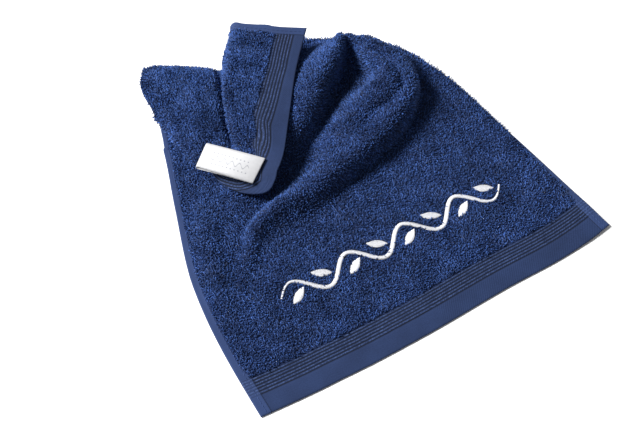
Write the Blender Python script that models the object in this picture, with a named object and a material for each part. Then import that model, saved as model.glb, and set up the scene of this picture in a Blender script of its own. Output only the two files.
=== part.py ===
"""Hand towel of cotton terry, 300 mm wide, lying loosely gathered with its far end turned over.

The cloth is one closed sheet. Its front lies flat, its middle is pushed up into standing folds and its far end
is turned over on top of them. A ribbon loop is sewn into the far end hem. Metres, +Z up, the front hem along X.
"""
import bpy
import numpy as np

MM = 0.001
CLOTH = 2.2 * MM  # ground cloth with its short loop pile
REST = CLOTH / 2  # height of the cloth's middle where it lies on the table
FRONT = 154.7 * MM  # the front hem's corners, before the middle of the space the towel takes up
BLEND = 4.0  # how sharply two folds that meet are joined
OVERHANG = 0.35  # how far a fold's near flank leans out over its foot

LABEL_RIBBON = 1.0 * MM
LABEL_INSIDE = 1.6 * MM  # clear space between the loop's two layers at its turn
LABEL_SEWN = 0.4 * MM  # and at its seam
LABEL_BOW = 1.5 * MM  # how far the loop's middle stands above its ends

LABEL_CELLS = (10, 6, 4)  # along one layer, round its turn and across the ribbon

FOLD_LINE_CELLS = 10  # from one row of a standing fold's table to the next
NEAR_FALL = 1.2  # how the flanks run out: a higher power falls sooner and runs out longer
FAR_FALL = 2.0
SOFTENING = 2  # passes that take the kinks out of the cloth

# Where the turned rows below give their points: distance from the left side hem in mm, and the cells to the next.
ACROSS = (0, 50, 100, 120, 145, 170, 210, 255, 300)
CELLS_ACROSS = (4, 5, 3, 4, 5, 6, 6, 5)

# Rows that lie flat, from the front hem backwards: the cells from this row to the next, where it starts and ends
# from left to right, and how far behind the front hem's left corner it lies at each distance in ACROSS, in mm.
LAID_ROWS = (
    # name, cells, left x, right x, y
    ("front hem", 3, -150, 150, (0, -4, -4, -3, -2, -1, 0, -1, 0)),
    ("front panel", 4, -148, 144, (58, 56, 56, 56, 56, 57, 58, 59, 60)),
    ("before the folds", 16, -140, 137, (117, 117, 117, 117, 117, 117, 117, 118, 118)),
    ("in the folds", 13, -119, 127, (183, 184, 185, 185, 185, 186, 187, 187, 188)),
)

# Rows behind the folds and in the end turned over them: the radius the cloth turns round in if it folds back at
# this row, and one (x, y, z) for each distance in ACROSS, all in mm.
TURNED_ROWS = (
    # name, cells, radius, points
    ("behind the folds", 8, 0, ((-101, 236, 1.1), (-75, 228, 1.1), (-47, 218, 1.1), (-33, 215, 1.1), (-10, 215, 1.1),
                                 (12, 220, 1.3), (44, 231, 2), (77, 239, 2), (105, 238, 1.1))),
    ("under the turn", 5, 0, ((-88, 292, 1.1), (-69, 276, 1.1), (-49, 256, 1.1), (-40, 251, 1.4), (-27, 251, 3.5),
                              (-15, 254, 6), (2, 260, 8.5), (20, 266, 10), (38, 275, 10))),
    ("turn", 4, 4.5, ((-81, 313, 8), (-58, 298, 9), (-38, 283, 9.7), (-32, 277, 10.5), (-27, 272, 17),
                      (-25, 276, 21), (-18, 283, 23.5), (-11, 291, 24), (-5, 297, 23))),
    ("on the turn", 5, 0, ((-93, 284, 15), (-77, 264, 17), (-54, 240, 18), (-39, 233, 16.5), (-40, 229, 26),
                           (-34, 236, 30), (-24, 251, 31), (-10, 270, 31), (3, 289, 29))),
    ("crease and ribs", 5, 3, ((-94, 262, 10.5), (-92, 236, 10.5), (-86, 201, 11), (-71, 204, 15), (-58, 187, 24),
                               (-44, 187, 30), (-33, 206, 32), (-6, 249, 32), (22, 279, 31))),
    ("far hem", 0, 0, ((-85, 290, 5.6), (-70, 254, 5.6), (-78, 205, 7), (-83, 186, 9.5), (-66, 155, 12),
                       (-42, 158, 25.5), (-16, 188, 30), (16, 230, 30), (46, 263, 30))),
)
ROUND_CELLS = 3  # from the tip of a fold to where its turn ends, on each side

# Standing folds, each along a line of tops from left to right: top and its height, and how far the fold's foot
# lies on the near and the far side of that line, in mm.
STANDING_FOLDS = {
    "outer roll": (
        # x, y, height, near, far
        (-95, 124, 2, 10, 12),
        (-75, 132, 6, 10, 13),
        (-35, 139, 14, 11, 20),
        (0, 145, 18, 11, 28),
        (30, 150, 21, 9, 33),
        (60, 160, 23, 8, 34),
        (82, 173, 25, 8, 30),
        (94, 189, 27, 8, 22),
        (97, 206, 26, 8, 14),
        (92, 221, 25, 9, 11),
        (84, 235, 24, 10, 10),
    ),
    "inner roll": (
        (-35, 156, 3, 12, 12),
        (-10, 161, 8, 16, 20),
        (12, 168, 15, 24, 26),
        (50, 181, 25, 30, 30),
        (74, 190, 31, 20, 30),
        (79, 206, 32, 12, 22),
        (78, 222, 33, 10, 14),
        (72, 240, 33, 9, 9),
    ),
    "inner ridge": (
        (-118, 130, 2, 8, 20),
        (-96, 145, 3, 8, 24),
        (-70, 161, 5, 9, 28),
        (-40, 175, 13, 9, 32),
        (-12, 185, 25, 8, 42),
        (11, 202, 30, 8, 46),
        (34, 224, 33, 8, 44),
        (58, 244, 32, 12, 26),
    ),
    "fold under the turned end": (
        (-46, 196, 6, 12, 12),
        (-31, 222, 16, 15, 15),
        (-12, 248, 20, 16, 16),
        (10, 266, 18, 16, 16),
    ),
    "lifted corner": (
        (135, -14, 3, 24, 24),
        (165, 8, 3, 24, 24),
    ),
}

# The ribbon loop's corners, in mm: at its seam in the far hem and at its turn, nearer to and farther from the front.
LABEL_CORNERS = {
    "seam, near": (-63.5, 160.5, 19.2),
    "seam, far": (-47, 169.5, 28.9),
    "turn, near": (-91.5, 194, 21),
    "turn, far": (-76, 205, 27),
}


def curve_through(points, steps):
    """A smooth curve through rows of values: steps[i] cells from row i to the next, on a Catmull-Rom spline
    whose knots are spaced by the square root of the distance between the rows' first three values."""
    points = np.asarray(points, float)
    first = 2 * points[:1] - points[1:2]
    last = 2 * points[-1:] - points[-2:-1]
    p = np.concatenate([first, points, last])
    knot = np.sqrt(np.linalg.norm(np.diff(p[..., :3], axis=0), axis=-1))[..., None] + 1e-9
    out = []
    for i, count in enumerate(steps):
        a, b, c = knot[i], knot[i + 1], knot[i + 2]
        start = b * ((p[i + 1] - p[i]) / a - (p[i + 2] - p[i]) / (a + b) + (p[i + 2] - p[i + 1]) / b)
        end = b * ((p[i + 2] - p[i + 1]) / b - (p[i + 3] - p[i + 1]) / (b + c) + (p[i + 3] - p[i + 2]) / c)
        for t in np.arange(count) / count:
            out.append(
                (2 * t**3 - 3 * t**2 + 1) * p[i + 1]
                + (t**3 - 2 * t**2 + t) * start
                + (3 * t**2 - 2 * t**3) * p[i + 2]
                + (t**3 - t**2) * end
            )
    out.append(points[-1])
    return np.array(out)


def across_towel(row_points):
    """One row's points at all cells across the towel."""
    return curve_through(row_points, CELLS_ACROSS)


def round_the_fold(previous, tips, following, radius):
    """Two more rows, before and after a row of fold tips, that make the cloth go round in half a circle there.
    Where the cloth does not fold back at this row they only mark its run."""
    fold_line = np.gradient(tips, axis=0)
    fold_line /= np.linalg.norm(fold_line, axis=-1, keepdims=True)
    sides = []
    for row in (previous, following):
        side = row - tips
        side -= (side * fold_line).sum(-1, keepdims=True) * fold_line
        sides.append(side / np.linalg.norm(side, axis=-1, keepdims=True))
    back, on = sides
    folded = (1 + (back * on).sum(-1, keepdims=True)) / 2
    inward = (back + on) / (np.linalg.norm(back + on, axis=-1, keepdims=True) + 1e-9)
    turning = on - back
    turning /= np.linalg.norm(turning, axis=-1, keepdims=True)
    middle = tips + radius * folded * inward
    return middle - radius * turning, middle + radius * turning


def standing_fold(x, y, tops):
    """One standing fold over the points x, y, in mm: its height, which is its top's height times a rounded step
    down to its foot, steep on the near side and soft on the far side, and how far its near flank leans out."""
    line = curve_through(tops, [FOLD_LINE_CELLS] * (len(tops) - 1))
    away = np.stack([x[..., None] - line[:, 0], y[..., None] - line[:, 1]])
    nearest = np.argmin((away**2).sum(0), axis=-1)
    heading = np.gradient(line[:, :2], axis=0)[nearest]
    away = np.take_along_axis(away, nearest[None, ..., None], -1)[..., 0]
    far_side = heading[..., 0] * away[1] - heading[..., 1] * away[0] > 0
    top = line[nearest]
    distance = np.hypot(*away) + 1e-9
    share = distance / np.where(far_side, top[..., 4], top[..., 3])
    step = np.clip(1 - share**2, 0, 1)
    height = top[..., 2] * step ** np.where(far_side, FAR_FALL, NEAR_FALL)
    lean = np.where(far_side, 0, OVERHANG * top[..., 2] * share * step)
    return height, lean * away / distance


def sheet_middle():
    """The cloth's middle surface in mm, as a grid of points: rows from the front hem, cells from the left hem."""
    rows, cells = [], []
    for _, count, left_x, right_x, row_y in LAID_ROWS:
        row_x = np.interp(ACROSS, (ACROSS[0], ACROSS[-1]), (left_x, right_x))
        rows.append(across_towel(np.stack([row_x, row_y, np.full(len(ACROSS), REST / MM)], -1)))
        cells.append(count)
    for i, (_, count, radius, points) in enumerate(TURNED_ROWS):
        row = across_towel(points)
        if radius:
            before, after = round_the_fold(rows[-1], row, across_towel(TURNED_ROWS[i + 1][3]), radius)
            rows += [before, row, after]
            cells += [ROUND_CELLS, ROUND_CELLS, count]
        else:
            rows.append(row)
            cells.append(count)
    grid = curve_through(np.array(rows), cells[:-1])
    last_standing = len(LAID_ROWS) + 1
    fade = cells[last_standing - 1]
    lying = np.clip((sum(cells[:last_standing]) - np.arange(len(grid))) / fade, 0, 1)
    lying = (lying * lying * (3 - 2 * lying))[:, None]
    heights, leans = [], []
    for tops in STANDING_FOLDS.values():
        height, lean = standing_fold(grid[..., 0], grid[..., 1], tops)
        heights.append(height * lying)
        leans.append(lean * lying)
    heights.append(np.maximum(grid[..., 2] - REST / MM, 0))
    leans.append(np.zeros_like(leans[0]))
    powers = np.array(heights) ** BLEND
    total = powers.sum(0)
    shares = powers / np.maximum(total, 1e-9)
    grid[..., 2] = REST / MM + total ** (1 / BLEND)
    grid[..., 0] += sum(share * lean[0] for share, lean in zip(shares, leans))
    grid[..., 1] += sum(share * lean[1] for share, lean in zip(shares, leans))
    for _ in range(SOFTENING):
        grid[1:-1] += (grid[:-2] - 2 * grid[1:-1] + grid[2:]) / 4
        grid[:, 1:-1] += (grid[:, :-2] - 2 * grid[:, 1:-1] + grid[:, 2:]) / 4
    return grid


def label_middle():
    """The ribbon's middle surface: from the seam along its lower layer, round its turn and back to the seam."""
    near, far, turn_near, turn_far = (np.array(corner) * MM for corner in LABEL_CORNERS.values())
    turn_radius = (LABEL_INSIDE + LABEL_RIBBON) / 2
    seam_height = (LABEL_SEWN + LABEL_RIBBON) / 2
    length = np.linalg.norm(turn_near + turn_far - near - far) / 2
    long_cells, turn_cells, wide_cells = LABEL_CELLS
    layer = np.linspace(0, 1, long_cells + 1)
    layer_height = seam_height + (turn_radius - seam_height) * layer
    around = np.radians(np.linspace(-90, 90, turn_cells + 1))[1:-1]
    along = np.concatenate([layer, 1 + turn_radius * np.cos(around) / length, layer[::-1]])
    height = np.concatenate([-layer_height, turn_radius * np.sin(around), layer_height[::-1]])
    height += LABEL_BOW * np.sin(np.pi * np.clip(along, 0, 1))
    along, height = along[:, None, None], height[:, None, None]
    across = np.linspace(0, 1, wide_cells + 1)[None, :, None]
    upward = np.cross(turn_near - near, near - far)
    upward /= np.linalg.norm(upward)
    lower_edge = near + (turn_near - near) * along
    upper_edge = far + (turn_far - far) * along
    return lower_edge + (upper_edge - lower_edge) * across + upward * height


def closed_sheet(name, middle, thickness):
    """A closed solid: the middle surface moved out to both sides by half the thickness, joined at its rim."""
    along = np.gradient(middle, axis=0)
    across = np.gradient(middle, axis=1)
    normal = np.cross(across, along)
    normal /= np.linalg.norm(normal, axis=-1, keepdims=True)
    top = middle + normal * thickness / 2
    bottom = middle - normal * thickness / 2
    rows, columns = middle.shape[:2]
    index = np.arange(rows * columns).reshape(rows, columns)
    quads = np.stack([index[:-1, :-1], index[:-1, 1:], index[1:, 1:], index[1:, :-1]], -1).reshape(-1, 4)
    rim = np.concatenate([index[0, :-1], index[:-1, -1], index[-1, :0:-1], index[:0:-1, 0]])
    under = rows * columns
    wall = np.stack([rim, rim + under, np.roll(rim, -1) + under, np.roll(rim, -1)], -1)
    faces = np.concatenate([quads, quads[:, ::-1] + under, wall])
    mesh = bpy.data.meshes.new(name)
    mesh.from_pydata(np.concatenate([top, bottom]).reshape(-1, 3).tolist(), [], faces.tolist())
    mesh.shade_smooth()
    mesh.set_sharp_from_angle(angle=np.radians(50))
    made = bpy.data.objects.new(name, mesh)
    bpy.context.scene.collection.objects.link(made)
    return made


def finish(piece, name, colour, roughness):
    material = bpy.data.materials.new(name)
    material.use_nodes = True
    shader = material.node_tree.nodes["Principled BSDF"]
    shader.inputs["Base Color"].default_value = (*colour, 1)
    shader.inputs["Roughness"].default_value = roughness
    shader.inputs["Metallic"].default_value = 0.0
    piece.data.materials.append(material)


for old in list(bpy.data.objects):
    bpy.data.objects.remove(old)

placed = np.array([0, -FRONT, 0])
towel = closed_sheet("towel_cloth", sheet_middle() * MM + placed, CLOTH)
finish(towel, "navy_terry", (0.012, 0.03, 0.13), 0.95)

label = closed_sheet("loop_label", label_middle() + placed, LABEL_RIBBON)
finish(label, "white_ribbon", (0.78, 0.78, 0.8), 0.5)
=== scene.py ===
import bpy
import numpy as np
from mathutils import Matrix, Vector
from mathutils.bvhtree import BVHTree


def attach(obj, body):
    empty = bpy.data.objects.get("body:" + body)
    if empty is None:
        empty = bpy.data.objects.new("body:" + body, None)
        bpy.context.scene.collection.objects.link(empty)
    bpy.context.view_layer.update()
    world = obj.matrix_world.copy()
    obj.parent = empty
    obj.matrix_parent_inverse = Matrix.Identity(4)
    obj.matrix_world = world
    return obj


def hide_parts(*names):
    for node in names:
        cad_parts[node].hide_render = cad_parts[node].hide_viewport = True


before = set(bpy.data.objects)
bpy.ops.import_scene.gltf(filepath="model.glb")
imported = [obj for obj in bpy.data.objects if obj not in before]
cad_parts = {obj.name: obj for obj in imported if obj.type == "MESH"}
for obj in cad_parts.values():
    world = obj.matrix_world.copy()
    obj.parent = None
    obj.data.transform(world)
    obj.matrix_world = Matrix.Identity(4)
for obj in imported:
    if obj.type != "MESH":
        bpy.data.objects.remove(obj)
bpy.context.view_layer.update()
MM = 0.001


# ----------------------- table, light and camera
# The towel lies on a plain white table, seen from a metre away and 56 degrees up, past the left end of its front
# hem. A soft studio light stands behind it on the left, and a white room fills the shadows.


def in_scene(name, data):
    """An object made of the given mesh, light or camera, put into the scene."""
    made = bpy.data.objects.new(name, data)
    bpy.context.scene.collection.objects.link(made)
    return made


camera_data = bpy.data.cameras.new("camera")
camera_data.sensor_width = 36
camera_data.lens = 74.78
camera = in_scene("camera", camera_data)
camera.location = (-0.31989, -0.50884, 0.82904)
camera_aim = Vector((-0.02769, -0.03207, 0.0))
camera.rotation_euler = (camera_aim - camera.location).to_track_quat("-Z", "Y").to_euler()
bpy.context.scene.camera = camera

room = bpy.data.worlds.new("white_room")
room.use_nodes = True
room_glow = room.node_tree.nodes["Background"]
room_glow.inputs["Color"].default_value = (1.0, 1.0, 1.0, 1)
room_glow.inputs["Strength"].default_value = 0.28
bpy.context.scene.world = room
bpy.context.scene.view_settings.view_transform = "Standard"

softbox_data = bpy.data.lights.new("softbox_behind_left", "AREA")
softbox_data.size = 1.16
softbox_data.energy = 285
softbox = in_scene("softbox_behind_left", softbox_data)
softbox.location = (-2.1, 1.54, 2.66)
softbox.rotation_euler = (-softbox.location).to_track_quat("-Z", "Y").to_euler()


def new_finish(name, settings):
    """A material with its shader's own settings: the material, its node tree and that shader."""
    material = bpy.data.materials.new(name)
    material.use_nodes = True
    shader = material.node_tree.nodes["Principled BSDF"]
    for key, value in settings.items():
        shader.inputs[key].default_value = value
    return material, material.node_tree, shader


TABLE_REACH = 3  # from the table's middle to its edges, in metres
table_corners = [(x * TABLE_REACH, y * TABLE_REACH, 0) for x, y in ((-1, -1), (1, -1), (1, 1), (-1, 1))]
table_mesh = bpy.data.meshes.new("table_top")
table_mesh.from_pydata(table_corners, [], [(0, 1, 2, 3)])
table_finish, _, _ = new_finish("white_table", {"Base Color": (0.96, 0.96, 0.96, 1), "Roughness": 0.7})
table_mesh.materials.append(table_finish)
table_top = in_scene("table_top", table_mesh)


# ----------------------------------- towel cloth
# One piece of cotton terry, woven with loops on both faces and with a flat ribbed border at each end. The end
# borders are turned under and sewn down at their outer edge, the sides are turned in to a narrow hem.
FRONT = 154.7 * MM  # the front hem's corners, before the middle of the space the towel takes up
REST = 1.1  # height of the cloth's middle where it lies on the table, in mm
BLEND = 4.0  # how sharply two folds that meet are joined
OVERHANG = 0.35  # how far a fold's near flank leans out over its foot
FOLD_LINE_CELLS = 10  # from one row of a standing fold's table to the next
NEAR_FALL = 1.2  # how the flanks run out: a higher power falls sooner and runs out longer
FAR_FALL = 2.0
SOFTENING = 2  # passes that take the kinks out of the cloth
TINY = 1e-9  # keeps a division by a length of zero harmless

# Where the rows below give their points: mm from the left side hem, and the cells to the next.
ACROSS = (0, 50, 100, 120, 145, 170, 210, 255, 300)
CELLS_ACROSS = (4, 5, 3, 4, 5, 6, 6, 5)

# Rows that lie flat, from the front hem backwards: the cells to the next row, where it starts and ends from left
# to right, and how far behind the front hem's left corner it lies at each of ACROSS, in mm.
LAID_ROWS = (
    # name, cells, left x, right x, y
    ("front hem", 3, -150, 150, (0, -4, -4, -3, -2, -1, 0, -1, 0)),
    ("front panel", 4, -148, 144, (58, 56, 56, 56, 56, 57, 58, 59, 60)),
    ("before the folds", 16, -140, 137, (117, 117, 117, 117, 117, 117, 117, 118, 118)),
    ("in the folds", 13, -119, 127, (183, 184, 185, 185, 185, 186, 187, 187, 188)),
)

# Rows behind the folds and in the end turned over them: the cells to the next, the radius of the turn where the
# cloth folds back, and one point for each of ACROSS, all in mm.
TURNED_ROWS = (
    # name, cells, radius, points
    ("behind the folds", 8, 0, (
        (-101, 236, 1.1), (-75, 228, 1.1), (-47, 218, 1.1), (-33, 215, 1.1), (-10, 215, 1.1), (12, 220, 1.3),
        (44, 231, 2), (77, 239, 2), (105, 238, 1.1),
    )),
    ("under the turn", 5, 0, (
        (-88, 292, 1.1), (-69, 276, 1.1), (-49, 256, 1.1), (-40, 251, 1.4), (-27, 251, 3.5), (-15, 254, 6),
        (2, 260, 8.5), (20, 266, 10), (38, 275, 10),
    )),
    ("turn", 4, 4.5, (
        (-81, 313, 8), (-58, 298, 9), (-38, 283, 9.7), (-32, 277, 10.5), (-27, 272, 17), (-25, 276, 21),
        (-18, 283, 23.5), (-11, 291, 24), (-5, 297, 23),
    )),
    ("on the turn", 5, 0, (
        (-93, 284, 15), (-77, 264, 17), (-54, 240, 18), (-39, 233, 16.5), (-40, 229, 26), (-34, 236, 30),
        (-24, 251, 31), (-10, 270, 31), (3, 289, 29),
    )),
    ("crease and ribs", 5, 3, (
        (-94, 262, 10.5), (-92, 236, 10.5), (-86, 201, 11), (-71, 204, 15), (-58, 187, 24), (-44, 187, 30),
        (-33, 206, 32), (-6, 249, 32), (22, 279, 31),
    )),
    ("far hem", 0, 0, (
        (-85, 290, 5.6), (-70, 254, 5.6), (-78, 205, 7), (-83, 186, 9.5), (-66, 155, 12), (-42, 158, 25.5),
        (-16, 188, 30), (16, 230, 30), (46, 263, 30),
    )),
)
ROUND_CELLS = 3  # from the tip of a fold to where its turn ends, on each side

# Standing folds, each along a line of tops from left to right, and how far from it the fold's foot lies on the near
# and the far side, in mm.
STANDING_FOLDS = {
    # x, y, height, near, far
    "outer roll": (
        (-95, 124, 2, 10, 12), (-75, 132, 6, 10, 13), (-35, 139, 14, 11, 20), (0, 145, 18, 11, 28),
        (30, 150, 21, 9, 33), (60, 160, 23, 8, 34), (82, 173, 25, 8, 30), (94, 189, 27, 8, 22), (97, 206, 26, 8, 14),
        (92, 221, 25, 9, 11), (84, 235, 24, 10, 10),
    ),
    "inner roll": (
        (-35, 156, 3, 12, 12), (-10, 161, 8, 16, 20), (12, 168, 15, 24, 26), (50, 181, 25, 30, 30),
        (74, 190, 31, 20, 30), (79, 206, 32, 12, 22), (78, 222, 33, 10, 14), (72, 240, 33, 9, 9),
    ),
    "inner ridge": (
        (-118, 130, 2, 8, 20), (-96, 145, 3, 8, 24), (-70, 161, 5, 9, 28), (-40, 175, 13, 9, 32),
        (-12, 185, 25, 8, 42), (11, 202, 30, 8, 46), (34, 224, 33, 8, 44), (58, 244, 32, 12, 26),
    ),
    "fold under the turned end": (
        (-46, 196, 6, 12, 12), (-31, 222, 16, 15, 15), (-12, 248, 20, 16, 16), (10, 266, 18, 16, 16),
    ),
    "lifted corner": ((135, -14, 3, 24, 24), (165, 8, 3, 24, 24)),
}

# Soft creases over those folds: lines with how far the cloth stands up there, or lies back where that is below
# zero, and how far the crease reaches to either side, in mm. The first lie in front of the turn.
FRONT_CREASES = {
    # x, y, height, half width
    "tail of the outer roll": (
        (-38, 137, 2, 7), (-48, 139, 4, 7), (-59, 138, 5, 7), (-73, 135, 5, 7), (-83, 128, 5, 7), (-90, 119, 4, 7),
        (-99, 110, 2.5, 7), (-107, 100, 1, 7),
    ),
    "valley behind the tail": (
        (-34, 157, -2, 9), (-45, 154, -2, 8), (-63, 146, -2, 7), (-80, 139, -2, 7), (-96, 128, -1.5, 7),
        (-106, 116, -0.5, 7),
    ),
    "rise along the left hem": (
        (-134, 70, 0.5, 10), (-128, 103, 2.5, 12), (-118, 132, 4, 13), (-108, 158, 4, 13), (-100, 180, 2, 12),
    ),
    "shoulder of the outer roll": (
        (96, 192, 1, 6), (90, 179, 2.5, 7), (75, 166, 3, 7), (55, 156, 3, 7), (30, 148, 3, 7), (0, 143, 2.5, 7),
        (-25, 139, 1.5, 7),
    ),
    "foot of the outer roll": (
        (101, 192, -2, 5), (98, 179, -4, 5), (82, 163, -5, 5), (67, 151, -4, 5), (41, 141, -4, 5),
        (15, 135, -3.5, 5), (-10, 130, -1, 5),
    ),
    "crevice behind the inner roll": (
        (78, 240, -3, 5), (81, 230, -7, 5), (84, 217, -8, 5), (86, 203, -8, 5), (84, 189, -5, 5), (79, 177, -2, 5),
    ),
    "crest of the inner roll": ((74, 243, 1, 5), (77, 235, 2, 5), (80, 221, 3, 5), (80, 207, 3, 5), (77, 194, 2, 5)),
    "left peak": ((44, 231, 2, 7), (53, 239, 4, 7), (60, 244, 8, 6), (64, 247, 8, 5)),
    "right peak": ((72, 247, 4, 5), (74, 240, 2, 5)),
    "valley between the peaks": (
        (68, 245, -3, 4), (66, 238, -4, 5), (60, 229, -4, 5), (50, 218, -3, 5), (36, 206, -2, 5),
    ),
    "dip across the rolls": ((82, 178, -1.5, 7), (68, 172, -3, 8), (52, 169, -3, 8), (34, 163, -1.5, 7)),
    "dip in front of the peak": ((70, 204, -3, 8), (62, 199, -6, 9), (50, 194, -4, 8), (38, 187, -1, 7)),
    "hollow before the right ridge": (
        (69, 240, -5, 5), (71, 229, -10, 7), (70, 215, -12, 8), (69, 204, -8, 8), (67, 196, -3, 6),
    ),
    "settled corner": ((125, -10, -0.5, 24), (150, -3, -1.8, 24), (168, 10, -1.8, 24)),
}
END_CREASES = {
    "foot of the strip": (
        (-24, 287, -2, 5), (-36, 263, -6, 6), (-48, 237, -8, 6), (-60, 208, -8, 6), (-65, 196, -5, 6),
        (-70, 184, -1, 5),
    ),
    "edge of the strip": (
        (-16, 282, 1.5, 5), (-26, 260, 3, 6), (-38, 234, 3, 6), (-50, 205, 3, 6), (-55, 193, 2, 5),
    ),
}
# Where a fold leans over the cloth beside it, or lies a little to one side: how far it moves, in mm.
FRONT_SHIFTS = {
    # x, y, x shift, y shift, half width
    "inner ridge over the valley": (
        (-12, 186, 1, -1.2, 9), (8, 202, 3, -3, 12), (24, 217, 4.5, -4, 14), (38, 229, 5.2, -4.5, 14),
        (52, 241, 5.2, -4, 13), (62, 248, 3, -2, 10),
    ),
    "outer roll over its foot": (
        (-25, 137, 0.3, -1, 6), (0, 142, 0.8, -2, 7), (30, 147, 1, -2.5, 7), (55, 154, 1.2, -2.5, 7),
        (75, 164, 1.6, -2.5, 7), (90, 179, 2.4, -1.8, 7), (96, 195, 2.6, -0.8, 7), (95, 212, 2.4, 0, 6),
    ),
    "right ridge over its hollow": (
        (76, 237, -1, 0, 6), (79, 222, -2.5, 0, 7), (79, 207, -2.5, 0, 7), (78, 195, -1, 0, 6),
    ),
    "bowed front hem": (
        (-90, 0, 0, 0, 60), (-50, 0, 0, -2, 65), (-10, 0, 0, -4, 65), (40, 0, 0, -4.6, 55), (95, 0, 0, -4.6, 45),
        (135, 0, 0, -2.6, 35), (149, 0, 0, -0.6, 30),
    ),
}
UNDER_SHIFTS = {
    "left hem under the lobe": (
        (-89, 284, 1, 0, 12), (-91, 273, 3.2, 0, 14), (-95, 259, 3.2, 0, 16), (-98, 244, 2, 0, 16),
        (-102, 228, 0.5, 0, 14),
    ),
}
END_SHIFTS = {
    "left side of the strip": (
        (-13, 284, 3.5, -1.5, 20), (-24, 261, 5, -2, 24), (-36, 235, 6.5, -2.6, 24), (-49, 204, 8, -3.2, 24),
        (-55, 192, 7, -2.8, 22), (-61, 176, 1, -0.4, 16),
    ),
    "upper corner of the strip": (
        (-10, 299, 1.5, 4, 10), (-3, 293, 2, 6, 11), (5, 287, 1, 5.5, 11), (14, 282, 0.5, 2.5, 10),
        (23, 277, 0, 0.4, 8),
    ),
    "corner of the lobe": ((-93, 303, 1.5, -2, 12), (-87, 309, 2, -4, 12), (-78, 313, 1, -3, 12)),
    "lower corner of the far end": ((-72, 155, 2, -1.5, 9), (-61, 152, 5, -3.5, 11), (-51, 153, 3, -1.5, 9)),
}
# The raised strip hangs over the lobe beside it: moved likewise, but only what stands above the lobe.
OVERHANGING = (17, 27)  # heights between which the move grows to its full size, in mm
END_LEANS = {
    "strip over the lobe": (
        (-13, 282, -1.5, 0.6, 12), (-24, 261, -5.5, 2.4, 14), (-36, 235, -11.5, 5, 15), (-49, 204, -13, 5.6, 15),
        (-55, 193, -9, 4, 13), (-60, 180, -2, 1, 10),
    ),
}


def curve_through(points, steps):
    """A smooth curve through rows of values, with steps cells from each to the next: one number for all or one for
    each. It is a Catmull-Rom spline, its knots spaced by the square root of the distance between the rows."""
    points = np.asarray(points, float)
    steps = np.broadcast_to(steps, len(points) - 1)
    first = 2 * points[:1] - points[1:2]
    last = 2 * points[-1:] - points[-2:-1]
    p = np.concatenate([first, points, last])
    knot = np.sqrt(np.linalg.norm(np.diff(p[..., :3], axis=0), axis=-1))[..., None] + TINY
    out = []
    for i, count in enumerate(steps):
        a, b, c = knot[i], knot[i + 1], knot[i + 2]
        start = b * ((p[i + 1] - p[i]) / a - (p[i + 2] - p[i]) / (a + b) + (p[i + 2] - p[i + 1]) / b)
        end = b * ((p[i + 2] - p[i + 1]) / b - (p[i + 3] - p[i + 1]) / (b + c) + (p[i + 3] - p[i + 2]) / c)
        for t in np.arange(count) / count:
            out.append(
                (2 * t**3 - 3 * t**2 + 1) * p[i + 1]
                + (t**3 - 2 * t**2 + t) * start
                + (3 * t**2 - 2 * t**3) * p[i + 2]
                + (t**3 - t**2) * end
            )
    out.append(points[-1])
    return np.array(out)


def unit(vectors):
    """Vectors divided by their own lengths."""
    return vectors / np.linalg.norm(vectors, axis=-1, keepdims=True)


def eased(share):
    """A share of the way from 0 to 1, held between them and slow at both: 3 share² - 2 share³."""
    share = np.clip(share, 0, 1)
    return share**2 * (3 - 2 * share)


def round_the_fold(previous, tips, following, radius):
    """Two more rows, before and after a row of fold tips, that make the cloth go round in half a circle there: they
    lie a radius to each side of its middle. Where the cloth does not fold back they only mark its run."""
    fold_line = unit(np.gradient(tips, axis=0))
    sides = []
    for row in (previous, following):
        side = row - tips
        sides.append(unit(side - (side * fold_line).sum(-1, keepdims=True) * fold_line))
    back, on = sides
    folded = (1 + (back * on).sum(-1, keepdims=True)) / 2
    inward = (back + on) / (np.linalg.norm(back + on, axis=-1, keepdims=True) + TINY)
    turning = unit(on - back)
    middle = tips + radius * folded * inward
    return middle - radius * turning, middle + radius * turning


def standing_fold(x, y, tops):
    """One standing fold over the points x, y, in mm: its height, which is its top's height times a rounded step
    down to its foot, steep on the near side and soft on the far side, and how far its near flank leans out."""
    line = curve_through(tops, FOLD_LINE_CELLS)
    away = np.stack([x[..., None] - line[:, 0], y[..., None] - line[:, 1]])
    nearest = np.argmin((away**2).sum(0), axis=-1)
    heading = np.gradient(line[:, :2], axis=0)[nearest]
    away = np.take_along_axis(away, nearest[None, ..., None], -1)[..., 0]
    far_side = heading[..., 0] * away[1] - heading[..., 1] * away[0] > 0
    top = line[nearest]
    distance = np.hypot(*away) + TINY
    share = distance / np.where(far_side, top[..., 4], top[..., 3])
    step = np.clip(1 - share**2, 0, 1)
    height = top[..., 2] * step ** np.where(far_side, FAR_FALL, NEAR_FALL)
    lean = np.where(far_side, 0, OVERHANG * top[..., 2] * share * step)
    return height, lean * away / distance


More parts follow.
